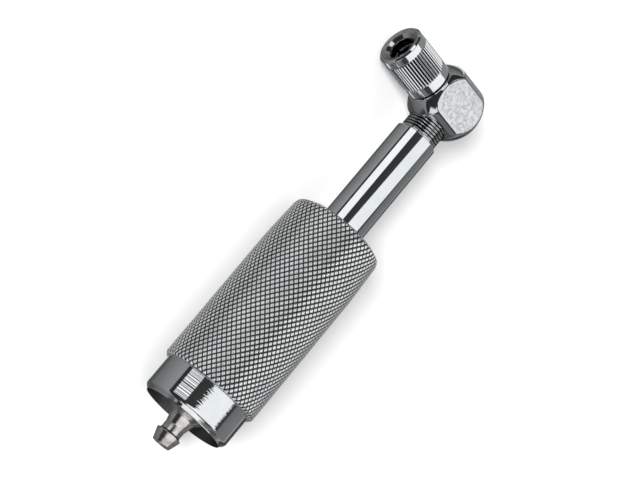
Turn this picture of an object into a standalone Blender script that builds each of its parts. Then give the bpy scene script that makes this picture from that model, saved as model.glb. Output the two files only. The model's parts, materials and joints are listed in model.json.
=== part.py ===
"""Hand push-stroke tire inflator: a knurled pump handle, a sliding piston rod and a right-angle valve chuck.

The tool lies on a bench on its knurled grip and on the rim of its chuck. +X runs along the pump rod from the
inlet nipple to the elbow, +Z is up, and the origin is under the middle of the tool's box. All sizes below are
millimetres. S is the rod's axis (world +X) and C is the chuck's axis, square to it. The handle and the rod
are drawn along S from the barrel's rear rim. The chuck is drawn along C from the elbow's centre.
"""

import math

import bmesh
import bpy
from mathutils import Matrix, Vector

MM = 0.001
GAP = 0.3            # left between two pieces that touch
EDGE = 0.4           # broken edge of the inner pieces
SIDES = 40           # sides of the large turned pieces
SMALL_SIDES = 12     # sides of the small inner pieces
INNER_SIDES = 24     # sides of the larger inner pieces
MERGE = 0.00005      # merge distance of modifiers, in metres

# Handle, along S
GRIP_R = 17.6
GRIP_FRONT_R = 16.95
GRIP_START = 12.5
GRIP_END = 78.1
GRIP_TAPER_START = 62.0
GRIP_REAR_EDGE = 0.7
GRIP_FRONT_EDGE = ((0.0, 1.05), (0.45, 0.4), (1.7, 0.0))  # back from the end, in from the radius
BARREL_R = 15.9
BARREL_SEAT_R = 15.0  # under the grip
BARREL_END = 75.0
BARREL_BORE_R = 12.5
RIM_R = 14.6
RIM_CHAMFER = 1.7
RIM_LIP = 0.3
RECESS_R = 14.3
RECESS_SHOULDER = 7.4

# Inlet fitting, along S
TIP_X = -10.7
TIP_R = 3.25
RING_X = -6.9
RING_R = 4.43
RING_EDGE = 0.2
RING_BACK = 0.8
NECK_R = 3.55
NECK_X = -3.6
FLARE_R = 10.6
FLARE_STEPS = 3
FLOOR_X = 3.3
FITTING_END = 9.3
INLET_HOLE_R = 1.3
INLET_SEAT_X = 0.5
INLET_SEAT_DEPTH = 1.4
VALVE_BORE_R = 2.7
BALL_R = 1.9
BALL_REST = 1.87     # from a seat's edge to the centre of its ball
RETAINER = (7.9, 9.0)
RETAINER_BORE_R = 1.1
RETAINER_R = 2.5

# Front gland and what it holds, along S
GLAND_SPIGOT_R = 12.2
GLAND_FLANGE_R = 15.0
GLAND_START = 66.0
GLAND_END = 78.7
GLAND_EDGE = 0.6
GLAND_WEB_START = 74.6
GLAND_WEB_END = 76.2
GLAND_SEAT_R = 9.6
GLAND_PACK_R = 9.3
GLAND_BORE_R = 8.1
ROD_RUN_R = 7.85     # bore of what the rod slides in
WIPER = (76.5, 78.4)
ROD_SEAL = (71.6, 74.3)
GUIDE_BUSH = (66.3, 71.3)
GLAND_WASHER = (64.7, 65.7)
BUMP_STOP = (61.5, 64.4)
BUMP_STOP_BORE_R = 8.3

# Piston rod, piston and outlet valve, along S
ROD_R = 7.53
ROD_EDGE = 0.4
ROD_START = 58.3
ROD_END = 119.2
ROD_BORE_R = 2.0
ROD_VALVE_BORE_END = 60.3
SPIGOT_R = 4.5
SPIGOT_START = 51.0
THREAD_R = 6.7
THREAD_EDGE = 0.7
THREAD_END = 127.6
PISTON_START = 55.9
PISTON_SHOULDER = 58.0
PISTON_END = 61.1
PISTON_R = 12.2
PISTON_GROOVE = (56.6, 59.3)
PISTON_GROOVE_R = 10.0
PISTON_RING_R = 11.3
PISTON_RING_SECTION = 0.95
CUP_START = 51.9
CUP_WEB_START = 54.0
CUP_END = 55.6
CUP_ROOT_R = 11.6
CUP_INNER_R = 10.6
SEAT_NUT_START = 48.0
SEAT_NUT_FLOOR = 50.2
SEAT_NUT_CUP = 50.7
SEAT_NUT_END = 53.7
SEAT_NUT_R = 7.2
OUTLET_BALL_X = 52.3
OUTLET_SPRING = (54.5, 60.1)

# Elbow, about its own centre
ELBOW_X = 134.8
ELBOW_BALL_R = 12.66
ELBOW_BARREL_R = 11.24
ELBOW_FLAT = 8.8     # from the centre to each wrench flat
ELBOW_FACE = 9.8     # end face under the chuck, along C
ELBOW_FOOT = -84     # latitude, in degrees, of the flat on the ball's far side
ROD_SOCKET_R = 7.0
NOZZLE_SOCKET_R = 5.2
NOZZLE_SOCKET_START = 5.1
AIR_R = 2.2
NECK_WASHER_THICK = 0.8
NECK_WASHER_BORE_R = 2.4

# Chuck, along C
COLLAR_R = 7.84
COLLAR_START = 10.1
COLLAR_REAR_EDGE = 0.5
COLLAR_END = 27.9
COLLAR_EDGE = 0.6
COLLAR_BORE_R = 6.3
CONE_START = 22.2    # inner cone that closes the jaws
CONE_END = 24.2
CONE_END_R = 5.3
MOUTH_DISH_R = 6.9   # the shallow dish inside the rim
MOUTH_CONE = ((27.5, 5.6), (26.6, 4.6))  # the dish's floor, then the cone that leads a stem in
MOUTH_START = 26.3
MOUTH_R = 4.35
JAW_START = 18.4
JAW_TAPER = 21.7
JAW_END = 23.8
JAW_BORE_R = 4.05
JAW_R = 6.0
JAW_TIP_R = 4.9
JAW_LEAD = 0.35
JAW_COUNT = 4
JAW_SLOT = 0.9
NOZZLE_START = 5.5
NOZZLE_LIP = 6.3     # end of the lip that the pin's spring rests on
NOZZLE_END = 17.6
NOZZLE_R = 6.0
NOZZLE_SPIGOT_R = 4.9
NOZZLE_CUP_R = 4.8
PIN_GUIDE = (12.6, 15.0)
PIN_GUIDE_R = 1.35
SEAL_START = 15.3
SEAL_END = 18.1
SEAL_R = 4.5
SEAL_EDGE = 0.8
SEAL_BORE_R = 1.7
PIN_START = 11.2
PIN_END = 20.3
PIN_R = 1.05
PIN_HEAD_R = 1.9
PIN_HEAD = 1.0
PIN_EDGE = 0.3
PIN_SPRING = (6.6, 10.9)

# Springs: wire radius, coil radius
RETURN_WIRE_R = 0.75
RETURN_COIL_R = 9.7
RETURN_TURNS = 7
RETURN_END = 53.6
VALVE_WIRE_R = 0.2
VALVE_COIL_R = 1.6
VALVE_TURNS = 4
VALVE_POINTS = 7     # points drawn for each turn of a valve spring
INLET_SPRING_END = 7.6
SPRING_ON_BALL = 1.5  # from the ball's centre to the end of its spring

# How the tool lies: the grip's lowest line and the chuck's rim both touch z = 0
RIM_REACH = COLLAR_END - COLLAR_EDGE
TILT = math.asin(GRIP_R / math.hypot(RIM_REACH, COLLAR_R)) - math.atan2(COLLAR_R, RIM_REACH)
CHUCK_TOP_Y = COLLAR_END * math.cos(TILT) + (COLLAR_R - COLLAR_EDGE) * math.sin(TILT)
AXIS_Z = GRIP_R
AXIS_Y = -(CHUCK_TOP_Y - GRIP_R) / 2
CENTRE_X = (TIP_X + ELBOW_X + ELBOW_BARREL_R) / 2

# Turned pieces are drawn with their axis on local Z. These turn local Z to S and to C.
TO_S = Matrix(((0, 0, 1), (0, 1, 0), (-1, 0, 0))).to_4x4()
SIN_TILT = math.sin(TILT)
COS_TILT = math.cos(TILT)
TO_C = Matrix(((1, 0, 0), (0, -SIN_TILT, COS_TILT), (0, -COS_TILT, -SIN_TILT))).to_4x4()

COLOURS = {
    "chrome": ((0.78, 0.79, 0.80), 0.08, 1.0),
    "satin_chrome": ((0.62, 0.63, 0.64), 0.32, 1.0),
    "nickel": ((0.50, 0.47, 0.44), 0.30, 1.0),
    "steel": ((0.55, 0.55, 0.56), 0.25, 1.0),
    "bronze": ((0.55, 0.38, 0.20), 0.35, 1.0),
    "aluminium": ((0.70, 0.71, 0.72), 0.35, 1.0),
    "rubber": ((0.03, 0.03, 0.03), 0.70, 0.0),
}


def clear_scene():
    for item in list(bpy.data.objects):
        bpy.data.objects.remove(item, do_unlink=True)


def new_collection(name):
    collection = bpy.data.collections.new(name)
    bpy.context.scene.collection.children.link(collection)
    return collection


def material(name):
    found = bpy.data.materials.get(name)
    if found:
        return found
    colour, roughness, metallic = COLOURS[name]
    made = bpy.data.materials.new(name)
    made.use_nodes = True
    shader = made.node_tree.nodes["Principled BSDF"]
    shader.inputs["Base Color"].default_value = (*colour, 1.0)
    shader.inputs["Roughness"].default_value = roughness
    shader.inputs["Metallic"].default_value = metallic
    return made


def turned(name, profile, axis, look, sides=SIDES, closed=True, collection=None):
    """Solid of revolution. profile lists (place along the axis, radius), down the outer side and up the bore.

    A solid piece starts and ends at radius 0, with closed=False.
    """
    mesh = bpy.data.meshes.new(name)
    points = [(radius * MM, 0.0, along * MM) for along, radius in profile]
    edges = [(i, i + 1) for i in range(len(points) - 1)]
    if closed:
        edges.append((len(points) - 1, 0))
    mesh.from_pydata(points, edges, [])
    item = bpy.data.objects.new(name, mesh)
    screw = item.modifiers.new("Turn", "SCREW")
    screw.axis = "Z"
    screw.angle = 2 * math.pi
    screw.steps = sides
    screw.render_steps = sides
    screw.use_merge_vertices = True
    screw.merge_threshold = MERGE
    screw.use_smooth_shade = True
    return place(item, axis, look, collection)


def place(item, axis, look, collection=None):
    """Links a piece, gives it its material and parents it to its axis empty."""
    (collection or PARTS).objects.link(item)
    if look:
        item.data.materials.append(material(look))
    item.parent = axis
    return item


def axis_empty(name, matrix):
    empty = bpy.data.objects.new(name, None)
    PARTS.objects.link(empty)
    empty.matrix_world = matrix
    return empty


def cutter(item):
    item.hide_render = True
    item.display_type = "WIRE"
    return item


def cut(item, tool, operation="DIFFERENCE"):
    boolean = item.modifiers.new(tool.name, "BOOLEAN")
    boolean.solver = "EXACT"
    boolean.operation = operation
    boolean.object = tool


def block(name, size, centre, axis):
    """A box cutter. size and centre are in millimetres in the axis empty's own directions."""
    mesh = bpy.data.meshes.new(name)
    shape = bmesh.new()
    bmesh.ops.create_cube(shape, size=1.0)
    bmesh.ops.scale(shape, vec=Vector(size) * MM, verts=shape.verts)
    bmesh.ops.translate(shape, vec=Vector(centre) * MM, verts=shape.verts)
    shape.to_mesh(mesh)
    shape.free()
    return cutter(place(bpy.data.objects.new(name, mesh), axis, None, CUTTERS))


def rod_cutter(name, start, end, radius, axis, sides=SMALL_SIDES):
    """A cylinder cutter along the axis."""
    profile = [(end, 0.0), (end, radius), (start, radius), (start, 0.0)]
    return cutter(turned(name, profile, axis, None, sides, closed=False, collection=CUTTERS))


def ring(name, span, inner, outer, axis, look, sides=SIDES, edge=0.3):
    """A washer, bush or seal of square section with broken outer edges, from start to end along its axis."""
    start, end = span
    profile = [(end, inner), (end, outer - edge), (end - edge, outer), (start + edge, outer),
               (start, outer - edge), (start, inner)]
    return turned(name, profile, axis, look, sides)


def o_ring(name, centre, mean_radius, section_radius, axis, sides=SIDES, section_sides=6):
    """A round-section seal ring."""
    profile = []
    for step in range(section_sides):
        angle = -2 * math.pi * step / section_sides
        profile.append((centre + section_radius * math.sin(angle),
                        mean_radius + section_radius * math.cos(angle)))
    return turned(name, profile, axis, "rubber", sides)


def ball(name, centre, radius, axis):
    """A check ball whose own origin is its centre."""
    mesh = bpy.data.meshes.new(name)
    shape = bmesh.new()
    bmesh.ops.create_uvsphere(shape, u_segments=12, v_segments=8, radius=radius * MM)
    shape.to_mesh(mesh)
    shape.free()
    mesh.shade_smooth()
    item = place(bpy.data.objects.new(name, mesh), axis, "steel")
    item.location = (0, 0, centre * MM)
    return item


def spring(name, start, end, turns, coil_radius, wire_radius, axis, points_per_turn=10):
    """A compression spring with one dead turn at each end, whose outer faces are at start and end."""
    curve = bpy.data.curves.new(name, "CURVE")
    curve.dimensions = "3D"
    curve.bevel_depth = wire_radius * MM
    curve.bevel_resolution = 2
    curve.use_fill_caps = True
    line = curve.splines.new("POLY")
    count = turns * points_per_turn + 1
    line.points.add(count - 1)
    dead_pitch = 2.15 * wire_radius
    first = start + wire_radius
    live_length = (end - wire_radius - dead_pitch) - (first + dead_pitch)
    for index in range(count):
        turn = index / points_per_turn
        if turn <= 1:
            along = first + turn * dead_pitch
        elif turn >= turns - 1:
            along = end - wire_radius - (turns - turn) * dead_pitch
        else:
            along = first + dead_pitch + live_length * (turn - 1) / (turns - 2)
        angle = 2 * math.pi * turn
        across = (coil_radius * math.cos(angle), coil_radius * math.sin(angle))
        line.points[index].co = (across[0] * MM, across[1] * MM, along * MM, 1.0)
    return place(bpy.data.objects.new(name, curve), axis, "steel")


def valve_spring(name, span, axis):
    """The small spring behind a ball or the pin."""
    start, end = span
    spring(name, start, end, VALVE_TURNS, VALVE_COIL_R, VALVE_WIRE_R, axis, VALVE_POINTS)


def arc(radius, start_angle, end_angle, steps):
    """Points (along, radius) on an arc about the origin, its angles in degrees from outward towards +axis."""
    points = []
    for step in range(steps + 1):
        angle = math.radians(start_angle + (end_angle - start_angle) * step / steps)
        points.append((radius * math.sin(angle), radius * math.cos(angle)))
    return points


def make_handle(axis):
    """Barrel, knurled grip and the inlet fitting with its check valve."""
    turned("barrel", [
        (BARREL_END, BARREL_BORE_R), (BARREL_END, BARREL_SEAT_R), (GRIP_START - GAP, BARREL_SEAT_R),
        (GRIP_START - GAP, BARREL_R), (RIM_CHAMFER, BARREL_R), (RIM_LIP, RIM_R), (0.0, RIM_R - 0.1),
        (0.0, RECESS_R), (RECESS_SHOULDER, RECESS_R), (RECESS_SHOULDER, BARREL_BORE_R)], axis, "chrome")
    grip_bore = BARREL_SEAT_R + GAP
    front_edge = [(GRIP_END - back, GRIP_FRONT_R - inward) for back, inward in GRIP_FRONT_EDGE]
    turned("knurled_grip", [(GRIP_END, grip_bore)] + front_edge + [
        (GRIP_TAPER_START, GRIP_R), (GRIP_START + GRIP_REAR_EDGE, GRIP_R),
        (GRIP_START, GRIP_R - GRIP_REAR_EDGE), (GRIP_START, grip_bore)], axis, "satin_chrome")
    turned("inlet_fitting", [
        (FITTING_END, VALVE_BORE_R), (FITTING_END, BARREL_BORE_R - GAP),
        (RECESS_SHOULDER - GAP, BARREL_BORE_R - GAP), (RECESS_SHOULDER - GAP, RECESS_R - GAP),
        (FLOOR_X, RECESS_R - GAP)] + fitting_flare() + [
        (RING_X + RING_BACK, NECK_R), (RING_X + RING_EDGE, RING_R), (RING_X, RING_R),
        (TIP_X + RING_EDGE, TIP_R), (TIP_X, TIP_R - RING_EDGE), (TIP_X, INLET_HOLE_R),
        (INLET_SEAT_X, INLET_HOLE_R), (INLET_SEAT_X + INLET_SEAT_DEPTH, VALVE_BORE_R)],
        axis, "nickel", 32)
    ball_x = INLET_SEAT_X + BALL_REST
    ball("inlet_ball", ball_x, BALL_R, axis)
    ring("ball_retainer", RETAINER, RETAINER_BORE_R, RETAINER_R, axis, "steel", SMALL_SIDES, edge=0.15)
    valve_spring("inlet_spring", (ball_x + SPRING_ON_BALL, INLET_SPRING_END), axis)


def fitting_flare():
    """The concave sweep from the recess floor in to the nipple's neck, a quarter of an ellipse."""
    points = []
    for step in range(FLARE_STEPS + 1):
        angle = math.pi / 2 * (1 - step / FLARE_STEPS)
        points.append((NECK_X + (FLOOR_X - NECK_X) * math.sin(angle),
                       NECK_R + (FLARE_R - NECK_R) * (1 - math.cos(angle))))
    return points


def make_gland(axis):
    """Front gland nut with the bush, seals and stops that the rod slides in."""
    turned("gland_nut", [
        (GLAND_END, GLAND_SEAT_R), (GLAND_END, GLAND_FLANGE_R - GLAND_EDGE),
        (GLAND_END - GLAND_EDGE, GLAND_FLANGE_R), (BARREL_END + GAP, GLAND_FLANGE_R),
        (BARREL_END + GAP, GLAND_SPIGOT_R), (GLAND_START, GLAND_SPIGOT_R), (GLAND_START, GLAND_SEAT_R),
        (GLAND_WEB_START, GLAND_SEAT_R), (GLAND_WEB_START, GLAND_BORE_R), (GLAND_WEB_END, GLAND_BORE_R),
        (GLAND_WEB_END, GLAND_SEAT_R)], axis, "chrome", 32)
    ring("rod_wiper", WIPER, ROD_RUN_R, GLAND_PACK_R, axis, "rubber", INNER_SIDES)
    ring("rod_seal", ROD_SEAL, ROD_RUN_R, GLAND_PACK_R, axis, "rubber", INNER_SIDES)
    ring("guide_bush", GUIDE_BUSH, ROD_RUN_R, GLAND_PACK_R, axis, "bronze", INNER_SIDES)
    ring("gland_washer", GLAND_WASHER, ROD_RUN_R, GLAND_SPIGOT_R - 0.2, axis, "steel", INNER_SIDES)
    ring("bump_stop", BUMP_STOP, BUMP_STOP_BORE_R, GLAND_SPIGOT_R - GAP, axis, "rubber", INNER_SIDES,
         edge=1.5 * EDGE)


def make_piston(axis):
    """The floating piston with its ring, and the cup behind it."""
    groove_start, groove_end = PISTON_GROOVE
    turned("piston", [
        (PISTON_END, ROD_RUN_R), (PISTON_END, PISTON_R - EDGE), (PISTON_END - EDGE, PISTON_R),
        (groove_end, PISTON_R), (groove_end, PISTON_GROOVE_R), (groove_start, PISTON_GROOVE_R),
        (groove_start, PISTON_R), (PISTON_START, PISTON_R), (PISTON_START, SPIGOT_R + GAP),
        (PISTON_SHOULDER, SPIGOT_R + GAP), (PISTON_SHOULDER, ROD_RUN_R)], axis, "aluminium", INNER_SIDES)
    groove_middle = (groove_start + groove_end) / 2
    o_ring("piston_ring", groove_middle, PISTON_RING_R, PISTON_RING_SECTION, axis, INNER_SIDES)
    turned("piston_cup", [
        (CUP_END, SPIGOT_R + GAP), (CUP_END, CUP_ROOT_R), (CUP_START + GAP, PISTON_R),
        (CUP_START, PISTON_R - EDGE), (CUP_WEB_START, CUP_INNER_R), (CUP_WEB_START, SPIGOT_R + GAP)],
        axis, "rubber", INNER_SIDES)


def make_rod(axis):
    """The hollow rod and the outlet valve in its rear end."""
    turned("piston_rod", [
        (THREAD_END, AIR_R), (THREAD_END, THREAD_R - THREAD_EDGE), (THREAD_END - THREAD_EDGE, THREAD_R),
        (ROD_END, THREAD_R), (ROD_END, ROD_R - ROD_EDGE), (ROD_END - ROD_EDGE, ROD_R), (ROD_START, ROD_R),
        (ROD_START, SPIGOT_R), (SPIGOT_START, SPIGOT_R), (SPIGOT_START, VALVE_BORE_R),
        (ROD_VALVE_BORE_END, VALVE_BORE_R), (ROD_VALVE_BORE_END + EDGE, ROD_BORE_R),
        (THREAD_END - EDGE, ROD_BORE_R)], axis, "chrome", 32)
    turned("valve_seat_nut", [
        (SEAT_NUT_END, SPIGOT_R + GAP), (SEAT_NUT_END, SEAT_NUT_R), (SEAT_NUT_START + EDGE, SEAT_NUT_R),
        (SEAT_NUT_START, SEAT_NUT_R - EDGE), (SEAT_NUT_START, INLET_HOLE_R), (SEAT_NUT_FLOOR, INLET_HOLE_R),
        (SEAT_NUT_CUP, AIR_R), (SEAT_NUT_CUP, SPIGOT_R + GAP)], axis, "bronze", INNER_SIDES)
    ball("outlet_ball", OUTLET_BALL_X, BALL_R, axis)
    valve_spring("outlet_spring", OUTLET_SPRING, axis)


def make_elbow(s_axis, c_axis):
    """Ball-ended elbow turned about C, with two wrench flats and two crossed air passages."""
    face_r = math.sqrt(ELBOW_BALL_R ** 2 - ELBOW_FACE ** 2)
    band_angle = math.degrees(math.acos(ELBOW_BARREL_R / ELBOW_BALL_R))
    face_angle = math.degrees(math.asin(ELBOW_FACE / ELBOW_BALL_R))
    profile = [(ELBOW_FACE, 0.0), (ELBOW_FACE, face_r)]
    profile += arc(ELBOW_BALL_R, face_angle, band_angle, 3)[1:]
    profile += arc(ELBOW_BALL_R, -band_angle, ELBOW_FOOT, 5)
    profile.append((profile[-1][0], 0.0))
    elbow = turned("elbow", profile, c_axis, "satin_chrome", 32, closed=False)
    slab = 2 * ELBOW_BALL_R
    for side, name in ((1, "front"), (-1, "back")):
        flat_centre = side * (ELBOW_FLAT + slab / 2)
        cut(elbow, block(f"flat_{name}", (2 * slab, slab, 2 * slab), (0, flat_centre, 0), c_axis))
    socket_end = THREAD_END + 2 * GAP + NECK_WASHER_THICK
    cut(elbow, rod_cutter("rod_socket", ELBOW_X - 20, socket_end, ROD_SOCKET_R, s_axis, INNER_SIDES))
    cut(elbow, rod_cutter("rod_passage", ELBOW_X - 6, ELBOW_X + 1, ROD_BORE_R, s_axis))
    nozzle_socket = (NOZZLE_SOCKET_START, ELBOW_FACE + 5, NOZZLE_SOCKET_R)
    cut(elbow, rod_cutter("nozzle_socket", *nozzle_socket, c_axis, INNER_SIDES))
    cut(elbow, rod_cutter("nozzle_passage", -1, ELBOW_FACE - 2, AIR_R, c_axis))
    washer = (THREAD_END + GAP, THREAD_END + GAP + NECK_WASHER_THICK)
    ring("neck_washer", washer, NECK_WASHER_BORE_R, ROD_SOCKET_R - GAP, s_axis, "rubber", INNER_SIDES,
         edge=0.15)


def make_chuck(c_axis, collar_axis, pin_axis):
    """Nozzle, turning ribbed collar, four jaws, rubber valve seal and the valve depressor pin."""
    guide_start, guide_end = PIN_GUIDE
    turned("chuck_nozzle", [
        (NOZZLE_END, NOZZLE_CUP_R), (NOZZLE_END, NOZZLE_R), (COLLAR_START + EDGE, NOZZLE_R),
        (COLLAR_START, NOZZLE_R - EDGE), (COLLAR_START, NOZZLE_SPIGOT_R), (NOZZLE_START, NOZZLE_SPIGOT_R),
        (NOZZLE_START, INLET_HOLE_R), (NOZZLE_LIP, INLET_HOLE_R), (NOZZLE_LIP, AIR_R),
        (guide_start, AIR_R), (guide_start, PIN_GUIDE_R), (guide_end, PIN_GUIDE_R),
        (guide_end, NOZZLE_CUP_R)], c_axis, "steel", INNER_SIDES)
    turned("chuck_collar", [
        (COLLAR_END, MOUTH_DISH_R), (COLLAR_END, COLLAR_R - COLLAR_EDGE),
        (COLLAR_END - COLLAR_EDGE, COLLAR_R), (COLLAR_START + COLLAR_REAR_EDGE, COLLAR_R),
        (COLLAR_START, COLLAR_R - COLLAR_REAR_EDGE), (COLLAR_START, COLLAR_BORE_R),
        (CONE_START, COLLAR_BORE_R), (CONE_END, CONE_END_R), (CONE_END, MOUTH_R),
        (MOUTH_START, MOUTH_R)] + list(reversed(MOUTH_CONE)), collar_axis, "chrome")
    turned("valve_seal", [
        (SEAL_END, SEAL_BORE_R), (SEAL_END, SEAL_R - SEAL_EDGE), (SEAL_END - SEAL_EDGE, SEAL_R),
        (SEAL_START, SEAL_R), (SEAL_START, SEAL_BORE_R)], c_axis, "rubber", 36)
    turned("depressor_pin", [
        (PIN_END, 0.0), (PIN_END, PIN_R - PIN_EDGE), (PIN_END - PIN_EDGE, PIN_R),
        (PIN_START + PIN_HEAD, PIN_R), (PIN_START + PIN_HEAD, PIN_HEAD_R), (PIN_START, PIN_HEAD_R),
        (PIN_START, 0.0)],
        pin_axis, "steel", SMALL_SIDES, closed=False)
    valve_spring("pin_spring", PIN_SPRING, c_axis)
    for index in range(JAW_COUNT):
        make_jaw(index, c_axis)


def make_jaw(index, c_axis):
    """One of the jaws: a quarter of a ring with a slot left between it and its neighbours."""
    name = f"jaw_{index + 1}"
    jaw = turned(name, [
        (JAW_END, JAW_BORE_R + JAW_LEAD), (JAW_END, JAW_TIP_R), (JAW_TAPER, JAW_R), (JAW_START, JAW_R),
        (JAW_START, JAW_BORE_R), (JAW_END - JAW_LEAD, JAW_BORE_R)], c_axis, "steel")
    half = math.pi / JAW_COUNT
    middle = half * (1 + 2 * index)
    for side, end in ((1, "a"), (-1, "b")):
        angle = middle + side * half
        along_edge = Vector((math.cos(angle), math.sin(angle), 0))
        outward = Vector((-math.sin(angle), math.cos(angle), 0)) * side
        tool = block(f"{name}_side_{end}", (40, 20, 40), (0, 0, 0), c_axis)
        turn = Matrix((along_edge, outward, Vector((0, 0, side)))).transposed().to_4x4()
        turn.translation = outward * (10 - JAW_SLOT / 2) * MM + Vector((0, 0, 20)) * MM
        tool.data.transform(turn)
        cut(jaw, tool)


def main():
    rod_line = Vector((-CENTRE_X, AXIS_Y, AXIS_Z)) * MM
    chuck_centre = Vector((ELBOW_X - CENTRE_X, AXIS_Y, AXIS_Z)) * MM
    s_matrix = Matrix.Translation(rod_line) @ TO_S
    c_matrix = Matrix.Translation(chuck_centre) @ TO_C
    handle_axis = axis_empty("handle_axis", s_matrix)
    piston_axis = axis_empty("piston_axis", s_matrix)
    rod_axis = axis_empty("rod_axis", s_matrix)
    chuck_axis = axis_empty("chuck_axis", c_matrix)
    collar_axis = axis_empty("collar_axis", c_matrix)
    pin_axis = axis_empty("pin_axis", c_matrix)
    make_handle(handle_axis)
    make_gland(handle_axis)
    make_piston(piston_axis)
    make_rod(rod_axis)
    spring("return_spring", FITTING_END + GAP, RETURN_END, RETURN_TURNS, RETURN_COIL_R, RETURN_WIRE_R,
           handle_axis)
    make_elbow(rod_axis, chuck_axis)
    make_chuck(chuck_axis, collar_axis, pin_axis)


clear_scene()
PARTS = new_collection("tire_inflator")
CUTTERS = new_collection("cutters")
main()
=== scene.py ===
"""Looks of the hand push-stroke tire inflator: turned, knurled and chromed metal on a white studio floor.

A turned piece is remade from its CAD node. The node's own outline is read back as a list of (along, radius)
points about its axis, its corners are rounded, and it is turned again at fine resolution. Surface relief, such
as the knurl, is cut into it as real geometry. The elbow, the jaws and the springs have functions of their own,
and the two valve balls stay as the CAD has them. Lengths here are metres.
"""

import json
import math
import random

import bmesh
import bpy
import numpy as np
from mathutils import Matrix, Vector


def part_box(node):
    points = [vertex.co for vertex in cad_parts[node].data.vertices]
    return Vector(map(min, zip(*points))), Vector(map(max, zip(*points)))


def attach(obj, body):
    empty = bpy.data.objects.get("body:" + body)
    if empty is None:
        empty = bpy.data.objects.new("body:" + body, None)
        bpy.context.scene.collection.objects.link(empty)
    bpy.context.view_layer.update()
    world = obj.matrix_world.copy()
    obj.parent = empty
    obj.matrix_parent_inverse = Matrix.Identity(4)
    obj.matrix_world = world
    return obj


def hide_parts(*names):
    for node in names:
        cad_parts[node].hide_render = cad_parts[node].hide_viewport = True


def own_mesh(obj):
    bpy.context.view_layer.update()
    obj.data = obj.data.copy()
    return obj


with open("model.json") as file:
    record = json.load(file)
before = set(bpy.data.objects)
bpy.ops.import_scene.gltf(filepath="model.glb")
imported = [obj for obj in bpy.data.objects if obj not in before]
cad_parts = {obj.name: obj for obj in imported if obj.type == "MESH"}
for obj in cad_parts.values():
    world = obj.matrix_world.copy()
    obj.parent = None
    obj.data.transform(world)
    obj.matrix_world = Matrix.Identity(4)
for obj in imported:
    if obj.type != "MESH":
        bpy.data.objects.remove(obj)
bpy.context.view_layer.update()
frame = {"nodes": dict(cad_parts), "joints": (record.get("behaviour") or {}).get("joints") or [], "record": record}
MM = 0.001

# ---------------------------------------------------------------- axes and centres
MOUNTS = {mount["name"]: mount for mount in frame["record"]["mounts"]}
JOINTS = {joint["name"]: joint for joint in frame["joints"]}
BODY_OF = {n: body for body, nodes in frame["record"]["behaviour"]["bodies"].items() for n in nodes}
SLOT_OF = {part["node"]: part["material_slot"] for part in frame["record"]["subparts"]}
GRIP_LOW, GRIP_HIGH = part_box("knurled_grip")
ROD_POINT = Vector((0, (GRIP_LOW.y + GRIP_HIGH.y) / 2, (GRIP_LOW.z + GRIP_HIGH.z) / 2))
ROD_AXIS = Vector((1, 0, 0))
CHUCK_AXIS = -Vector(JOINTS["collar_turn"]["axis"]).normalized()
FLAT_NORMAL = Vector(MOUNTS["elbow_flat"]["axis"]).normalized()
ELBOW_CENTRE = Vector((MOUNTS["elbow_flat"]["pos_m"][0], ROD_POINT.y, ROD_POINT.z))
FLAT_OFFSET = (Vector(MOUNTS["elbow_flat"]["pos_m"]) - ELBOW_CENTRE).dot(FLAT_NORMAL)

# ---------------------------------------------------------------- surface relief
KNURL_STARTS = 58              # grooves round the grip, in each direction
KNURL_PITCH = 2.38 * MM        # along the axis, from diamond to diamond
KNURL_DEPTH = 0.52 * MM
KNURL_SECOND = 0.3             # height of the second, shallower cut's floor, as a share of a full crest
KNURL_CELLS = 3                # mesh steps over half a diamond
KNURL_REAR_GAP = 0.12 * MM     # from the grip's rear end to the knurl
KNURL_FRONT_GAP = 0.3 * MM     # the same at the front, at least
RIB_COUNT = 46
RIB_DEPTH = 0.52 * MM
RIB_START = 3.8 * MM           # from the collar's rear end
RIB_END = 14.6 * MM
RIB_FADE = 0.5 * MM            # length over which a groove between ribs runs out
RIB_STEPS = 10                 # mesh steps round one rib
THREAD_PITCH = 1.06 * MM
THREAD_DEPTH = 0.52 * MM
THREAD_STEPS = 10              # mesh steps along one pitch
THREAD_FLANK = 1.25            # steepness of the flanks: above 1 the crests are flat
THREAD_REAR_GAP = 0.3 * MM     # from the rod's shoulder to the thread
THREAD_FRONT_GAP = 0.9 * MM    # from the thread to the rod's end
TURNING_WAVES = ((1.02, 0.0044), (0.71, 0.0036), (0.47, 0.0027))  # tool marks: (pitch, half depth) in mm
TURNING_START = 10.4 * MM      # the marks run from here to TURNING_END, both measured back from the grip
TURNING_END = 0.5 * MM
TURNING_ROWS = 220
TURNING_SWAY = 0.2             # how much the marks' depth changes round the barrel, as a share
# Nearer the axis than these shares of the outer radius, a point belongs to the bore and has no relief.
GRIP_BORE_SHARE = 0.87
BARREL_BORE_SHARE = 0.96
NECK_BORE_SHARE = 0.7
COLLAR_BORE_SHARE = 0.9

# ---------------------------------------------------------------- edges
PLAIN_CORNER = 0.15 * MM
GRIP_CORNER = 0.3 * MM
BARREL_CORNER = 0.2 * MM
BARREL_RIM = 2.2 * MM          # the barrel's rear outer edge is rounder
ROD_CORNER = 0.12 * MM
COLLAR_CORNER = 0.22 * MM
JAW_CORNER = 0.2 * MM

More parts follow.
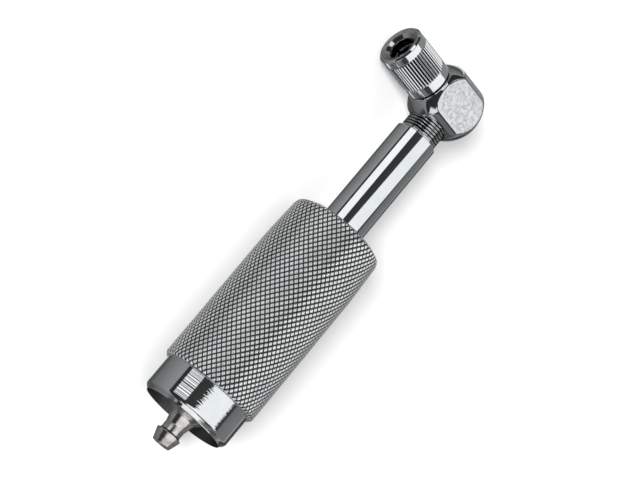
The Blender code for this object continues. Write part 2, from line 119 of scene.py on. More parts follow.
# ---------------------------------------------------------------- sizes of single pieces
NECK_REACH = 12 * MM           # the rod's threaded neck lies within this distance of the elbow's centre
BORE_SHADE_GAP = 0.5 * MM       # round the inlet fitting, where the barrel's faces are dark
# Painted shade: the barrel's faces within this gap of the inlet fitting get the dark bore metal.
COLLAR_REAR_EDGE = 0.8 * MM    # plain edges of the collar, outside its finely divided side
COLLAR_FRONT_EDGE = 1.0 * MM
COLLAR_ROWS = 64
MOUTH_DEPTH = 1.05 * MM        # the collar is satin from this far inside its outer radius
EDGE_POWER = 90                # sharpness of the elbow's edges
FLAT_COSINE = 0.995            # elbow faces closer than this to a flat's direction are satin
SOCKET_GAP = 0.3 * MM          # round the neck washer, in the elbow
SOCKET_FLOOR = 1.4 * MM        # past the rod's end
ROD_PASSAGE = 2.0 * MM         # radius of the air way on the rod's axis
NOZZLE_SEAT = 5.1 * MM         # from the elbow's centre
NOZZLE_RADIUS = 5.2 * MM
NOZZLE_PASSAGE = 2.2 * MM      # radius of the air way on the chuck's axis
NOZZLE_PASSAGE_END = 6 * MM    # from the elbow's centre, inside the nozzle's hole
CUTTER_OVERLAP = 1.0 * MM
SOCKET_CUTTER = 20 * MM        # lengths of cutter that leave the elbow, at the rod's side and at the chuck's
NOZZLE_CUTTER = 5 * MM
JAW_SLOT = 0.9 * MM            # width between two jaws
JAW_TIP = 4.9 * MM             # outer radius at the tip
JAW_TAPER = 2.1 * MM           # length over which the outside widens from the tip
JAW_LEAD = (0.35 * MM, 0.5 * MM)  # bevel inside the tip: across, along
JAW_STEPS = 24
WELD = 0.001 * MM              # vertices nearer than this are one

# ---------------------------------------------------------------- camera
VIEW_AZIMUTH = -163.4
VIEW_ELEVATION = 33.55
VIEW_ROLL = -120.55
VIEW_DISTANCE = 0.72
VIEW_AIM = Vector((4.5, -3.5, 15.7)) * MM
LENS = 126.6


# ================================================================ profiles
def axis_frame(origin, axis):
    """Matrix that takes local Z to axis, with its origin on it."""
    side = Vector((0, 0, 1)) if abs(axis.z) < 0.9 else Vector((1, 0, 0))
    x_dir = side.cross(axis).normalized()
    y_dir = axis.cross(x_dir)
    turn = Matrix((x_dir, y_dir, axis)).transposed().to_4x4()
    turn.translation = origin
    return turn


ROD_FRAME = axis_frame(ROD_POINT, ROD_AXIS)
CHUCK_FRAME = axis_frame(ELBOW_CENTRE, CHUCK_AXIS)


def local_vertices(node, turn):
    """The CAD node's vertices in an axis frame, as a numpy array."""
    back = turn.inverted()
    return np.array([back @ v.co for v in frame["nodes"][node].data.vertices])


def local_radius(node, turn):
    """The CAD node's largest distance from the axis."""
    points = local_vertices(node, turn)
    return float(np.hypot(points[:, 0], points[:, 1]).max())


def cad_profile(node, turn):
    """The outline that the CAD node was turned from, as (along, radius) points, and whether it is a loop."""
    points = local_vertices(node, turn)
    radius = np.hypot(points[:, 0], points[:, 1])
    key = [(round(float(z) * 1e6), round(float(r) * 1e6)) for z, r in zip(points[:, 2], radius)]
    outer = int(np.argmax(radius))
    station = math.atan2(points[outer, 1], points[outer, 0])
    angle = np.arctan2(points[:, 1], points[:, 0])
    near = np.abs((angle - station + math.pi) % (2 * math.pi) - math.pi) < 0.02
    near |= radius < 2e-6
    links = {}
    for edge in frame["nodes"][node].data.edges:
        a, b = edge.vertices
        if near[a] and near[b] and key[a] != key[b]:
            links.setdefault(key[a], set()).add(key[b])
            links.setdefault(key[b], set()).add(key[a])
    ends = [k for k, found in links.items() if len(found) == 1]
    walk = [ends[0] if ends else max(links)]
    while True:
        onward = [k for k in links[walk[-1]] if k not in walk]
        if not onward:
            break
        walk.append(onward[0])
    turned = sum(a[0] * b[1] - b[0] * a[1] for a, b in zip(walk, walk[1:] + walk[:1]))
    if turned < 0:
        walk.reverse()
    return [(z * 1e-6, r * 1e-6) for z, r in walk], not ends


def rounded(points, loop, radius, steps=4, chosen=None):
    """The outline with each corner, or each corner that passes the test chosen(z, r), replaced by an arc."""
    made = []
    count = len(points)
    for i, (z, r) in enumerate(points):
        if (not loop and i in (0, count - 1)) or (chosen and not chosen(z, r)):
            made.append((z, r))
            continue
        here = np.array((z, r))
        before = np.array(points[i - 1]) - here
        after = np.array(points[(i + 1) % count]) - here
        reach_before, reach_after = np.linalg.norm(before), np.linalg.norm(after)
        before, after = before / reach_before, after / reach_after
        turn = math.acos(float(np.clip(-before @ after, -1, 1)))
        if turn < math.radians(4):
            made.append((z, r))
            continue
        back_off = min(radius * math.tan(turn / 2), reach_before * 0.42, reach_after * 0.42)
        start, end = here + before * back_off, here + after * back_off
        for step in range(steps + 1):
            t = step / steps
            p = start * (1 - t) ** 2 + here * 2 * t * (1 - t) + end * t ** 2
            made.append((float(p[0]), float(p[1])))
    return made


def banded(points, low, high, rows):
    """A closed or open outline whose outer side between low and high is replaced by evenly spaced rows."""
    count = len(points)

    def crossing(level):
        """Radius and segment where the outline's outer side, which runs down in z, crosses a level."""
        found = []
        for i in range(count):
            (z0, r0), (z1, r1) = points[i], points[(i + 1) % count]
            if z0 >= level > z1:
                found.append((r0 + (r1 - r0) * (z0 - level) / (z0 - z1), i))
        return max(found)

    first, last = crossing(high)[1], crossing(low)[1]
    levels = [high + (low - high) * k / rows for k in range(rows + 1)]
    made = [(z, crossing(z)[0]) for z in levels]
    if last < first:
        return made + points[last + 1:first + 1]
    return points[:first + 1] + made + points[last + 1:]


# ================================================================ mesh making
def mesh_object(name, vertices, faces, smooth_angle=30):
    """A smooth-shaded object whose edges over smooth_angle, in degrees, stay sharp."""
    mesh = bpy.data.meshes.new(name)
    mesh.from_pydata([tuple(v) for v in vertices], [], faces)
    mesh.validate()
    mesh.update()
    mesh.shade_smooth()
    if smooth_angle:
        mesh.set_sharp_from_angle(angle=math.radians(smooth_angle))
    item = bpy.data.objects.new(name, mesh)
    bpy.context.scene.collection.objects.link(item)
    return item


def mesh_from(shape, name):
    """Turns a bmesh into an object, and frees it."""
    mesh = bpy.data.meshes.new(name)
    shape.to_mesh(mesh)
    shape.free()
    item = bpy.data.objects.new(name, mesh)
    bpy.context.scene.collection.objects.link(item)
    return item


def turn_outline(name, outline, loop, turn, sides, relief=None, diagonals=None, smooth_angle=30):
    """Turns an outline about local Z of turn.

    relief(z, r, angles) gives the depth cut at each point. diagonals(upper, lower, angle) says how each cell
    is split in two triangles: 1 or 2 for either diagonal, and 0 for a cell that stays whole.
    """
    angles = np.arange(sides) * 2 * math.pi / sides
    vertices, rings = [], []
    for z, r in outline:
        if r < 1e-7:
            rings.append([len(vertices)])
            vertices.append((0.0, 0.0, z))
            continue
        depth = relief(z, r, angles) if relief else np.zeros(sides)
        rings.append(list(range(len(vertices), len(vertices) + sides)))
        radius = r - depth
        vertices.extend(zip(radius * np.cos(angles), radius * np.sin(angles), np.full(sides, z)))
    faces = []
    count = len(rings)
    for j in range(count if loop else count - 1):
        upper, lower = rings[j], rings[(j + 1) % count]
        for i in range(sides):
            k = (i + 1) % sides
            split = diagonals(outline[j], outline[(j + 1) % count], angles[i]) if diagonals else 0
            if len(upper) == 1:
                faces.append((upper[0], lower[i], lower[k]))
            elif len(lower) == 1:
                faces.append((upper[i], lower[0], upper[k]))
            elif split == 1:
                faces.append((upper[i], lower[i], upper[k]))
                faces.append((upper[k], lower[i], lower[k]))
            elif split == 2:
                faces.append((upper[i], lower[i], lower[k]))
                faces.append((upper[i], lower[k], upper[k]))
            else:
                faces.append((upper[i], lower[i], lower[k], upper[k]))
    item = mesh_object(name, vertices, faces, smooth_angle)
    item.data.transform(turn)
    return item


def store_groove(item, relief, full, turn):
    """Writes how deep each vertex lies in the relief, as a share, for the material's painted shade in the grooves.
    """
    back = turn.inverted()
    values = []
    for vertex in item.data.vertices:
        p = back @ vertex.co
        r = math.hypot(p.x, p.y)
        depth = relief(p.z, r, np.array([math.atan2(p.y, p.x)]))[0]
        values.append(min(1.0, depth / full))
    attribute = item.data.attributes.new("groove", "FLOAT", "POINT")
    attribute.data.foreach_set("value", np.array(values, np.float32))


def paint_faces(item, index, turn, chosen):
    """Gives material number index to the faces whose centre (along, radius) passes the test."""
    back = turn.inverted()
    for polygon in item.data.polygons:
        centre = back @ polygon.center
        if chosen(centre.z, math.hypot(centre.x, centre.y)):
            polygon.material_index = index


def drill(turn, start, end, radius):
    """A round cutter along an axis, from start to end."""
    outline = [(end, 0.0), (end, radius), (start, radius), (start, 0.0)]
    return turn_outline("drill", outline, False, turn, 96)


def apply_modifiers(item):
    """Makes what the modifiers show the object's own mesh."""
    graph = bpy.context.evaluated_depsgraph_get()
    made = bpy.data.meshes.new_from_object(item.evaluated_get(graph))
    item.modifiers.clear()
    item.data = made


def finish_piece(item, node, *looks):
    """Gives a piece its materials and body, and stands it in for its CAD node."""
    for material in looks:
        item.data.materials.append(material)
    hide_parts(node)
    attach(item, BODY_OF[node])


# ================================================================ materials
class Nodes:
    """Small helper that adds linked nodes to a node tree."""

    def __init__(self, tree):
        self.tree = tree

    def add(self, kind, **settings):
        node = self.tree.nodes.new(kind)
        for key, value in settings.items():
            setattr(node, key, value)
        return node

    def link(self, source, target):
        self.tree.links.new(source, target)

    def feed(self, socket, value):
        if isinstance(value, bpy.types.NodeSocket):
            self.link(value, socket)
        else:
            socket.default_value = value

    def math(self, operation, a, b=0.0, c=0.0):
        node = self.add("ShaderNodeMath", operation=operation)
        for socket, value in zip(node.inputs, (a, b, c)):
            self.feed(socket, value)
        return node.outputs[0]

    def noise(self, scale, detail, distortion=0.0):
        """Noise on object coordinates, in metres. scale counts features per metre."""
        place = self.add("ShaderNodeTexCoord")
        made = self.add("ShaderNodeTexNoise")
        made.inputs["Scale"].default_value = scale
        made.inputs["Detail"].default_value = detail
        made.inputs["Distortion"].default_value = distortion
        self.link(place.outputs["Object"], made.inputs["Vector"])
        return made.outputs["Fac"]

    def ramp(self, value, stops):
        """Grey ramp. stops lists (place, grey)."""
        node = self.add("ShaderNodeValToRGB")
        elements = node.color_ramp.elements
        while len(elements) < len(stops):
            elements.new(0.5)
        for element, (place, grey) in zip(elements, stops):
            element.position = place
            element.color = (grey, grey, grey, 1)
        self.link(value, node.inputs[0])
        return node.outputs["Color"]

    def between(self, value, low, high):
        """Maps 0..1 to low..high."""
        node = self.add("ShaderNodeMapRange")
        node.inputs["To Min"].default_value = low
        node.inputs["To Max"].default_value = high
        self.link(value, node.inputs["Value"])
        return node.outputs[0]

    def soft_step(self, value, edge, width):
        """0 below the edge and 1 above it, or the other way round where width is negative."""
        node = self.add("ShaderNodeMapRange", interpolation_type="SMOOTHSTEP")
        node.inputs["From Min"].default_value = edge - width / 2
        node.inputs["From Max"].default_value = edge + width / 2
        self.link(value, node.inputs["Value"])
        return node.outputs[0]

    def mix(self, share, first, second):
        node = self.add("ShaderNodeMix", data_type="RGBA")
        self.feed(node.inputs["Factor"], share)
        for socket, value in ((node.inputs[6], first), (node.inputs[7], second)):
            self.feed(socket, (*value, 1) if isinstance(value, tuple) else value)
        return node.outputs[2]

    def bump(self, height, distance):
        """Relief whose full height is distance, in metres."""
        node = self.add("ShaderNodeBump")
        node.inputs["Strength"].default_value = 1.0
        node.inputs["Distance"].default_value = distance
        self.link(height, node.inputs["Height"])
        return node.outputs[0]


# Painted shade: these stops and this share darken the base colour towards the bottom of a groove.
PATCH_STOPS = ((0.35, 0.0), (0.65, 1.0))
PAINTED_GROOVE_STOPS = ((0.30, 0.0), (0.78, 1.0))
PAINTED_GROOVE_SHADE = 0.04            # how bright the bottom of a groove is, as a share of the metal's shade


def metal(name, tint, shade, rough, smear=(140, 4), grain=None, groove=False, metallic=1.0):
    """A metal: tint drifts to shade in patches, roughness runs over rough=(low, high).

    smear is the scale and detail of the patches. grain is (scale, height) of the surface's own fine relief.
    groove paints shade into the base colour where the mesh attribute of that name is high. metallic below 1 stands
    for a matt bloom.
    """
    made = bpy.data.materials.new(name)
    made.use_nodes = True
    nodes = Nodes(made.node_tree)
    shader = made.node_tree.nodes["Principled BSDF"]
    shader.inputs["Metallic"].default_value = metallic
    patches = nodes.noise(*smear, distortion=0.6)
    colour = nodes.mix(nodes.ramp(patches, PATCH_STOPS), tint, shade)
    # Painted shade: the base colour darkens where the relief is deep.
    if groove:
        depth = nodes.add("ShaderNodeAttribute", attribute_name="groove").outputs["Fac"]
        dark = nodes.ramp(depth, PAINTED_GROOVE_STOPS)
        colour = nodes.mix(dark, colour, tuple(c * PAINTED_GROOVE_SHADE for c in shade))
    nodes.link(colour, shader.inputs["Base Color"])
    nodes.link(nodes.between(patches, *rough), shader.inputs["Roughness"])
    if grain:
        scale, height = grain
        nodes.link(nodes.bump(nodes.noise(scale, 2.0), height), shader.inputs["Normal"])
    return made


def rubber_look(name, colour):
    """Matt rubber in one colour, paler in patches and finely pitted."""
    made = bpy.data.materials.new(name)
    made.use_nodes = True
    nodes = Nodes(made.node_tree)
    shader = made.node_tree.nodes["Principled BSDF"]
    patches = nodes.noise(300, 4)
    nodes.link(nodes.mix(patches, colour, tuple(c * 1.8 for c in colour)), shader.inputs["Base Color"])
    nodes.link(nodes.between(patches, 0.55, 0.8), shader.inputs["Roughness"])
    nodes.link(nodes.bump(nodes.noise(5000, 2), 0.00002), shader.inputs["Normal"])
    return made


LOOKS = {
    "bright_chrome": metal("bright_chrome_look", (0.79, 0.82, 0.84), (0.73, 0.765, 0.785), (0.03, 0.08),
                           grain=(2600, 0.0000012)),
    # The knurl's grooves get painted shade, through groove=True.
    "knurled_chrome": metal("knurled_chrome_look", (0.97, 1.0, 1.0), (0.86, 0.89, 0.905), (0.11, 0.19),
                            grain=(6000, 0.000003), groove=True, metallic=0.68),
    "satin_flat": metal("satin_flat_look", (0.88, 0.885, 0.91), (0.53, 0.54, 0.575), (0.30, 0.42),
                        smear=(1000, 6), grain=(2400, 0.00002), metallic=0.93),
    "nickel": metal("nickel_look", (0.76, 0.745, 0.715), (0.50, 0.48, 0.46), (0.18, 0.28),
                    smear=(500, 3), grain=(1500, 0.000006)),
    "steel": metal("steel_look", (0.36, 0.36, 0.36), (0.28, 0.28, 0.285), (0.26, 0.38),
                   grain=(4000, 0.000002)),
    "bronze": metal("bronze_look", (0.62, 0.43, 0.22), (0.45, 0.29, 0.14), (0.25, 0.42)),
    "aluminium": metal("aluminium_look", (0.78, 0.79, 0.80), (0.70, 0.71, 0.72), (0.28, 0.40)),
    "rubber": rubber_look("rubber_look", (0.012, 0.012, 0.013)),
}
ELBOW_MIRROR = metal("elbow_mirror_look", (0.70, 0.735, 0.745), (0.60, 0.635, 0.645), (0.03, 0.08),
                     grain=(2600, 0.0000015))
# Painted shade between the collar's ribs, through groove=True.
COLLAR_CHROME = metal("collar_chrome_look", (0.84, 0.86, 0.88), (0.76, 0.785, 0.805), (0.03, 0.07),
                      grain=(2600, 0.0000012), groove=True)
# Painted shade in the thread's roots, through groove=True.
THREAD_CHROME = metal("thread_chrome_look", (0.66, 0.69, 0.70), (0.56, 0.59, 0.60), (0.06, 0.12),
                      grain=(2600, 0.0000012), groove=True)
# Painted shade: dark metal standing for the shade in the barrel's recess round the inlet fitting.
BORE_PAINTED_SHADE = metal("bore_painted_shade_look", (0.20, 0.205, 0.205), (0.12, 0.125, 0.125), (0.30, 0.45))
# Jaw steel, darker than the plain steel look: partly the jaws' own dark steel and partly painted shade deep inside
# the chuck's mouth.
JAW_STEEL_AND_SHADE = metal("jaw_steel_and_shade_look", (0.24, 0.245, 0.24), (0.12, 0.12, 0.12), (0.25, 0.4), smear=(600, 3))
MOUTH_SATIN = metal("mouth_satin_look", (0.72, 0.75, 0.73), (0.50, 0.53, 0.51), (0.08, 0.15),
                    smear=(400, 3), grain=(2600, 0.000003))


# ================================================================ the pieces
def make_grip():
    """Sleeve with a diamond knurl over its whole length."""
    outline, loop = cad_profile("knurled_grip", ROD_FRAME)
    low, high = GRIP_LOW.x + KNURL_REAR_GAP, GRIP_HIGH.x - KNURL_FRONT_GAP
    step = KNURL_PITCH / 2 / KNURL_CELLS
    rows = int((high - low) / step)
    high = low + rows * step
    outline = banded(rounded(outline, loop, GRIP_CORNER), low, high, rows)
    sides = KNURL_STARTS * 2 * KNURL_CELLS
    around = KNURL_STARTS / (2 * math.pi)
    bore_limit = (GRIP_HIGH.y - GRIP_LOW.y) / 2 * GRIP_BORE_SHARE

    def heights(z, angles):
        """Height over each family of grooves, 0 in a groove and 1 on a crest. One family is cut twice."""
        a, b = angles * around, (z - low) / KNURL_PITCH
        once = 2 * np.abs((a - b) - np.round(a - b))
        twice = 2 * np.abs((a + b) - np.round(a + b))
        return once, np.minimum(twice, 1 + KNURL_SECOND - twice) * 2 / (1 + KNURL_SECOND)

    def relief(z, r, angles):
        if r < bore_limit:
            return np.zeros(len(angles))
        return KNURL_DEPTH * (1 - np.minimum(*heights(z, angles)))

    def diagonal(upper, lower, angle):
        z = (upper[0] + lower[0]) / 2
        if not low < z < high or upper[1] < bore_limit:
            return 0
        once, twice = heights(z, angle + math.pi / sides)
        return 2 if twice < once else 1

    item = turn_outline("knurled_grip_fine", outline, loop, ROD_FRAME, sides, relief, diagonal, 22)
    # The depths stored here drive the painted shade in the knurl's grooves.
    store_groove(item, relief, KNURL_DEPTH, ROD_FRAME)
    finish_piece(item, "knurled_grip", LOOKS["knurled_chrome"])


def make_barrel():
    """Polished tube with turning marks behind the grip and a round rear rim; its faces round the inlet fitting get
    a dark metal as painted shade.
    """
    outline, loop = cad_profile("barrel", ROD_FRAME)
    outer = max(r for z, r in outline)
    low, high = GRIP_LOW.x - TURNING_START, GRIP_LOW.x - TURNING_END
    soft_rim = rounded(outline, loop, BARREL_RIM, 8, lambda z, r: z < low and r == outer)
    outline = banded(rounded(soft_rim, loop, BARREL_CORNER), low, high, TURNING_ROWS)
    bore_limit = local_radius("barrel", ROD_FRAME) * BARREL_BORE_SHARE
    rng = random.Random(4)
    waves = [(pitch * MM, height * MM, rng.uniform(0, 2 * math.pi)) for pitch, height in TURNING_WAVES]

    def relief(z, r, angles):
        if not low < z < high or r < bore_limit:
            return np.zeros(len(angles))
        fade = min(1.0, (z - low) / MM, (high - z) / MM)
        depth = sum(height * (1 + math.sin(2 * math.pi * z / pitch + phase))
                    for pitch, height, phase in waves)
        return fade * depth * (1 + TURNING_SWAY * np.sin(3 * angles))

    item = turn_outline("barrel_fine", outline, loop, ROD_FRAME, 256, relief)
    finish_piece(item, "barrel", LOOKS["bright_chrome"], BORE_PAINTED_SHADE)
    fitting_r = local_radius("inlet_fitting", ROD_FRAME)
    # Painted shade on the recess faces round the inlet fitting.
    paint_faces(item, 1, ROD_FRAME, lambda z, r: r < fitting_r + BORE_SHADE_GAP)


def make_rod():
    """Mirror-bright rod with a thread cut on its neck."""
    outline, loop = cad_profile("piston_rod", ROD_FRAME)
    thread_r = max(r for z, r in outline if z > ELBOW_CENTRE.x - NECK_REACH)
    rod_r = max(r for z, r in outline)
    shoulder = max(z for z, r in outline if r > (rod_r + thread_r) / 2)
    low, high = shoulder + THREAD_REAR_GAP, max(z for z, r in outline) - THREAD_FRONT_GAP
    rows = round((high - low) / (THREAD_PITCH / THREAD_STEPS))
    outline = banded(rounded(outline, loop, ROD_CORNER), low, high, rows)
    bore_limit = thread_r * NECK_BORE_SHARE

    def relief(z, r, angles):
        if not low < z < high or r < bore_limit:
            return np.zeros(len(angles))
        turns = (z - low) / THREAD_PITCH - angles / (2 * math.pi)
        tooth = 2 * np.abs(turns - np.round(turns))
        fade = min(1.0, (z - low) / THREAD_PITCH * 2, (high - z) / THREAD_PITCH * 2)
        return THREAD_DEPTH * fade * (1 - np.clip(tooth * THREAD_FLANK, 0, 1))

    item = turn_outline("piston_rod_fine", outline, loop, ROD_FRAME, 192, relief)
    # The depths stored here drive the painted shade in the thread's roots.
    store_groove(item, relief, THREAD_DEPTH, ROD_FRAME)
    finish_piece(item, "piston_rod", LOOKS["bright_chrome"], THREAD_CHROME)
    paint_faces(item, 1, ROD_FRAME, lambda z, r: low < z < high and r > bore_limit)


def make_collar():
    """Ribbed collar with plain bands at both ends and a satin mouth."""
    outline, loop = cad_profile("chuck_collar", CHUCK_FRAME)
    rear = min(z for z, r in outline)
    collar_r = max(r for z, r in outline)
    end = max(z for z, r in outline)
    low, high = rear + RIB_START, rear + RIB_END
    soft = rounded(outline, loop, COLLAR_CORNER)
    outline = banded(soft, rear + COLLAR_REAR_EDGE, end - COLLAR_FRONT_EDGE, COLLAR_ROWS)

    def relief(z, r, angles):
        if not low < z < high or r < collar_r * COLLAR_BORE_SHARE:
            return np.zeros(len(angles))
        rib = np.sin(angles * RIB_COUNT / 2) ** 2
        ends = min(1.0, (z - low) / RIB_FADE, (high - z) / RIB_FADE)
        return RIB_DEPTH * math.sin(ends * math.pi / 2) * (1 - rib)

    item = turn_outline("chuck_collar_fine", outline, loop, CHUCK_FRAME, RIB_COUNT * RIB_STEPS, relief)
    # The depths stored here drive the painted shade between the ribs.
    store_groove(item, relief, RIB_DEPTH, CHUCK_FRAME)
    finish_piece(item, "chuck_collar", COLLAR_CHROME, MOUTH_SATIN)
    paint_faces(item, 1, CHUCK_FRAME, lambda z, r: r < collar_r - MOUTH_DEPTH)


def elbow_body():
    """A ball cut by two wrench flats and an end face, on a barrel about the chuck's axis, with soft edges."""
    points = np.array([v.co - ELBOW_CENTRE for v in frame["nodes"]["elbow"].data.vertices])
    chuck, normal = np.array(CHUCK_AXIS), np.array(FLAT_NORMAL)
    ball_r = float(np.linalg.norm(points, axis=1).max())
    face = float((points @ chuck).max())
    barrel_r = float((points @ np.array((1.0, 0.0, 0.0))).max())
    shape = bmesh.new()
    bmesh.ops.create_icosphere(shape, subdivisions=7, radius=1.0)
    for vertex in shape.verts:
        d = np.array(vertex.co)
        d_chuck = float(d @ chuck)
        limits = (1 / ball_r, abs(float(d @ normal)) / FLAT_OFFSET, max(d_chuck, 0) / face,
                  math.sqrt(max(0.0, 1 - d_chuck ** 2)) / barrel_r)
        largest = max(limits)
        total = sum((v / largest) ** EDGE_POWER for v in limits)
        vertex.co = Vector(d / (largest * total ** (1 / EDGE_POWER))) + ELBOW_CENTRE
    return mesh_from(shape, "elbow_fine"), face


def make_elbow():
    """The elbow's body, drilled for the rod and the nozzle, with satin flats."""
    item, face = elbow_body()
    socket_r = local_radius("neck_washer", ROD_FRAME) + SOCKET_GAP
    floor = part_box("piston_rod")[1].x + SOCKET_FLOOR
    tools = [
        drill(ROD_FRAME, floor - SOCKET_CUTTER, floor, socket_r),
        drill(ROD_FRAME, floor - CUTTER_OVERLAP, ELBOW_CENTRE.x + CUTTER_OVERLAP, ROD_PASSAGE),
        drill(CHUCK_FRAME, NOZZLE_SEAT, face + NOZZLE_CUTTER, NOZZLE_RADIUS),
        drill(CHUCK_FRAME, -CUTTER_OVERLAP, NOZZLE_PASSAGE_END, NOZZLE_PASSAGE),
    ]
    for tool in tools:
        cut = item.modifiers.new(tool.name, "BOOLEAN")
        cut.solver = "EXACT"
        cut.object = tool
    apply_modifiers(item)
    for tool in tools:
        bpy.data.objects.remove(tool)
    item.data.shade_smooth()
    item.data.set_sharp_from_angle(angle=math.radians(35))
    finish_piece(item, "elbow", ELBOW_MIRROR, LOOKS["satin_flat"])
    for polygon in item.data.polygons:
        if abs(polygon.normal.dot(FLAT_NORMAL)) > FLAT_COSINE:
            polygon.material_index = 1


def make_jaw(index):
    """A quarter ring whose sides run parallel to the slots between the jaws."""
    node = f"jaw_{index + 1}"
    points = local_vertices(node, CHUCK_FRAME)
    radius = np.hypot(points[:, 0], points[:, 1])
    inner, outer = float(radius.min()), float(radius.max())
    low, high = float(points[:, 2].min()), float(points[:, 2].max())
    middle = math.atan2(float(points[:, 1].mean()), float(points[:, 0].mean()))
    lead_across, lead_along = JAW_LEAD
    corners = [(high, inner + lead_across), (high, JAW_TIP), (high - JAW_TAPER, outer), (low, outer),
               (low, inner), (high - lead_along, inner)]
    outline = rounded(corners, True, JAW_CORNER, 3)
    vertices, faces = [], []
    for z, r in outline:
        half = math.pi / 4 - math.asin(JAW_SLOT / 2 / r)
        for step in range(JAW_STEPS + 1):
            angle = middle - half + 2 * half * step / JAW_STEPS
            vertices.append((r * math.cos(angle), r * math.sin(angle), z))
    count = len(outline)
    row = JAW_STEPS + 1
    for j in range(count):
        for i in range(JAW_STEPS):
            a, b = j * row + i, ((j + 1) % count) * row + i
            faces.append((a, b, b + 1, a + 1))
    faces.append([j * row for j in reversed(range(count))])
    faces.append([j * row + JAW_STEPS for j in range(count)])
    item = mesh_object(node + "_fine", vertices, faces)
    item.data.transform(CHUCK_FRAME)
    # The jaws' dark colour is partly painted shade deep in the mouth.
    finish_piece(item, node, JAW_STEEL_AND_SHADE)


def make_spring(node, joint, toward_seat):
    """The CAD coil with rounder wire."""
    shape = bmesh.new()
    shape.from_mesh(frame["nodes"][node].data)
    bmesh.ops.remove_doubles(shape, verts=shape.verts, dist=WELD)
    item = mesh_from(shape, node + "_fine")
    smooth = item.modifiers.new("smooth", "SUBSURF")
    smooth.levels = 1
    apply_modifiers(item)
    item.data.shade_smooth()
    finish_piece(item, node, LOOKS[SLOT_OF[node]])
    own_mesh(item)


def remake(node, turn, sides):
    """A plain turned piece: the CAD outline with rounded corners at fine resolution."""
    outline, loop = cad_profile(node, turn)
    item = turn_outline(node + "_fine", rounded(outline, loop, PLAIN_CORNER), loop, turn, sides)
    finish_piece(item, node, LOOKS[SLOT_OF[node]])


def paint_carried_nodes():
    """Materials for the CAD nodes that no piece replaces."""
    for node, item in frame["nodes"].items():
        if not item.hide_render:
            item.data.materials.clear()
            item.data.materials.append(LOOKS[SLOT_OF[node]])


ROD_PIECES = ("inlet_fitting", "ball_retainer", "gland_nut", "rod_wiper", "rod_seal", "guide_bush",
              "gland_washer", "bump_stop", "piston", "piston_ring", "piston_cup", "valve_seat_nut",
              "neck_washer")
CHUCK_PIECES = ("chuck_nozzle", "valve_seal", "depressor_pin")
# Each spring, the joint that presses it, and the direction from its free end to its seat.
SPRINGS = (("return_spring", "handle_stroke", -ROD_AXIS), ("inlet_spring", "inlet_ball_lift", ROD_AXIS),
           ("outlet_spring", "outlet_ball_lift", ROD_AXIS), ("pin_spring", "pin_press", -CHUCK_AXIS))

make_grip()
make_barrel()
make_rod()
make_collar()
make_elbow()
for number in range(4):
    make_jaw(number)
for rod_piece in ROD_PIECES:
    remake(rod_piece, ROD_FRAME, sides=128)
for chuck_piece in CHUCK_PIECES:
    remake(chuck_piece, CHUCK_FRAME, sides=96)
for spring in SPRINGS:
    make_spring(*spring)
paint_carried_nodes()


# ================================================================ floor, light and camera
FLOOR_HALF = 6.0


def make_floor():
    """White paper, wide enough to fill low views, that isn't seen in the chrome."""
    corners = [(x * FLOOR_HALF, y * FLOOR_HALF, 0) for x, y in ((-1, -1), (1, -1), (1, 1), (-1, 1))]
    floor = mesh_object("floor", corners, [(0, 1, 2, 3)], 0)
    made = bpy.data.materials.new("floor_paper")
    made.use_nodes = True
    nodes = Nodes(made.node_tree)
    shader = made.node_tree.nodes["Principled BSDF"]
    shader.inputs["Roughness"].default_value = 0.9
    shader.inputs["Specular IOR Level"].default_value = 0.1
    paper = nodes.mix(nodes.noise(3, 2), (0.93, 0.93, 0.93), (0.91, 0.91, 0.91))
    nodes.link(paper, shader.inputs["Base Color"])
    floor.data.materials.append(made)
    floor.visible_glossy = False


# The studio as the metal sees it, as (angle, brightness). Angles run round the rod's axis, in degrees: 0 is
# the horizon on the camera's side, 90 straight up, 180 the horizon behind. They are negative below it.
WALLS = [
    (-180, 0.06), (-172, 0.05), (-165, 0.12), (-150, 0.16), (-146, 0.85), (-128, 0.75), (-124, 0.10),
    (-104, 0.10), (-97, 0.16), (-60, 0.25), (-33, 0.33), (-30, 0.03), (0, 0.035), (40, 0.045), (104, 0.05),
    (118, 0.05), (122, 0.17), (150, 0.21), (166, 0.21), (168, 0.34), (174, 0.34), (177, 0.08), (180, 0.06)]

# Lit cards: (from angle, to angle, from x, to x, edge softness in degrees, brightness, slant). x is the sine
# of the direction's lean along the rod, from -1 at the nipple's end to 1 at the elbow's end. slant turns the
# from and to edges about CARD_PIVOT, in degrees for each unit of x.
CARDS = [
    (-21, 14, 0.13, 0.50, 1.2, 1.15, 0),
    (45, 107, -0.36, 0.42, 2.0, 1.05, 50),
    (86, 111, -0.34, 0.12, 3.0, 1.05, 0),
    (88, 111, 0.38, 0.70, 3.0, 1.05, 0),
    (20, 98, -0.54, -0.36, 4.0, 1.15, 0),
    (94, 120, -0.50, -0.30, 4.0, 1.0, 0),
    (140, 180, -1.0, -0.60, 6.0, 0.10, 0),
    (-8, 100, -1.0, -0.80, 6.0, 1.10, 0),
    (20, 60, -0.82, -0.68, 6.0, 0.80, 0),
    (100, 138, -1.0, -0.90, 6.0, 0.90, 0),
    (-98, -44, -1.0, -0.84, 8.0, 0.06, 0),
    (-160, -121, -0.35, 0.08, 4.0, 0.12, 0),
    (20, 80, 0.62, 0.84, 8.0, 0.55, 0),
    (112, 180, 0.56, 0.90, 8.0, 0.26, 0),
    (-180, -150, 0.50, 0.86, 8.0, 0.34, 0)]
CARD_PIVOT = 0.16
WALL_BREAK = 0  # the angle where the walls' ramp is split in two


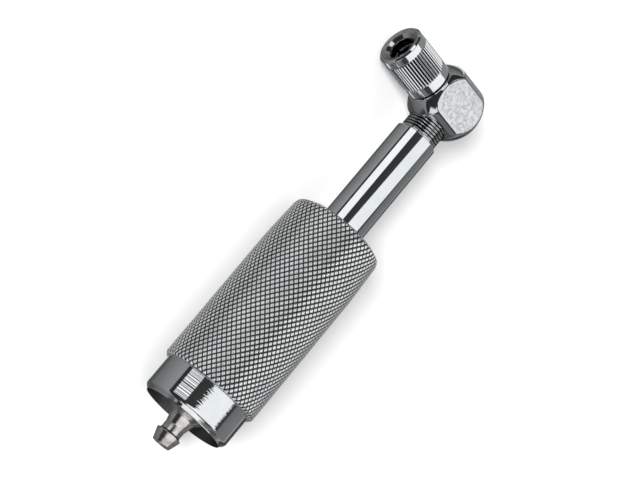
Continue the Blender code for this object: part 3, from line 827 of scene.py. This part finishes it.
def make_world():
    """Dark and grey walls all round, with the lit cards laid over them by direction."""
    world = bpy.data.worlds.new("studio")
    bpy.context.scene.world = world
    world.use_nodes = True
    nodes = Nodes(world.node_tree)
    direction = nodes.add("ShaderNodeTexCoord").outputs["Generated"]
    parts = nodes.add("ShaderNodeSeparateXYZ")
    nodes.link(direction, parts.inputs[0])
    x, y, z = parts.outputs
    angle = nodes.math("MULTIPLY", nodes.math("ARCTAN2", z, y), 180 / math.pi)
    below = nodes.ramp(nodes.math("MULTIPLY_ADD", angle, 1 / 180, 1.0),
                       [((a + 180) / 180, b) for a, b in WALLS if a <= WALL_BREAK])
    above = nodes.ramp(nodes.math("MULTIPLY", angle, 1 / 180),
                       [(a / 180, b) for a, b in WALLS if a >= WALL_BREAK])
    light = nodes.mix(nodes.math("GREATER_THAN", angle, WALL_BREAK), below, above)
    lean = nodes.math("MULTIPLY", x, 180 / math.pi)
    for angle_from, angle_to, x_from, x_to, soft, bright, slant in CARDS:
        slanted = nodes.math("SUBTRACT", angle, nodes.math("MULTIPLY_ADD", x, slant, -slant * CARD_PIVOT))
        mask = 1.0
        for value, low, high in ((slanted, angle_from, angle_to),
                                 (lean, math.degrees(x_from), math.degrees(x_to))):
            mask = nodes.math("MULTIPLY", mask, nodes.soft_step(value, low, soft))
            mask = nodes.math("MULTIPLY", mask, nodes.soft_step(value, high, -soft))
        light = nodes.mix(mask, light, (bright, bright, bright))
    background = world.node_tree.nodes["Background"]
    nodes.link(light, background.inputs["Color"])
    background.inputs["Strength"].default_value = 1.0
    world.cycles_visibility.diffuse = False


# Suns: (name, direction from the tool to the light, spread in degrees, strength).
SUNS = (("key", (-0.2277, 0.865, 0.461), 14, 5.0), ("overhead", (0, 0, 1), 150, 2.0))


def soft_sun(name, toward, spread, strength):
    """Even light from a direction, which shines on matt surfaces but isn't seen in the chrome."""
    data = bpy.data.lights.new(name, "SUN")
    data.energy = strength
    data.angle = math.radians(spread)
    light = bpy.data.objects.new(name, data)
    light.rotation_mode = "QUATERNION"
    light.rotation_quaternion = Vector(toward).to_track_quat("Z", "Y")
    light.visible_glossy = False
    bpy.context.scene.collection.objects.link(light)


def make_camera():
    """Camera aimed at VIEW_AIM from a distance, turned about its own axis by VIEW_ROLL."""
    azimuth, elevation = math.radians(VIEW_AZIMUTH), math.radians(VIEW_ELEVATION)
    back = Vector((math.sin(azimuth) * math.cos(elevation), -math.cos(azimuth) * math.cos(elevation),
                   math.sin(elevation)))
    data = bpy.data.cameras.new("camera")
    data.lens = LENS
    data.clip_start, data.clip_end = 0.01, 20
    camera = bpy.data.objects.new("camera", data)
    camera.rotation_mode = "QUATERNION"
    camera.location = VIEW_AIM + back * VIEW_DISTANCE
    roll = Matrix.Rotation(-math.radians(VIEW_ROLL), 3, "Z").to_quaternion()
    camera.rotation_quaternion = (-back).to_track_quat("-Z", "Y") @ roll
    bpy.context.scene.collection.objects.link(camera)
    bpy.context.scene.camera = camera


make_floor()
make_world()
for sun in SUNS:
    soft_sun(*sun)
make_camera()
bpy.context.scene.view_settings.view_transform = "Standard"
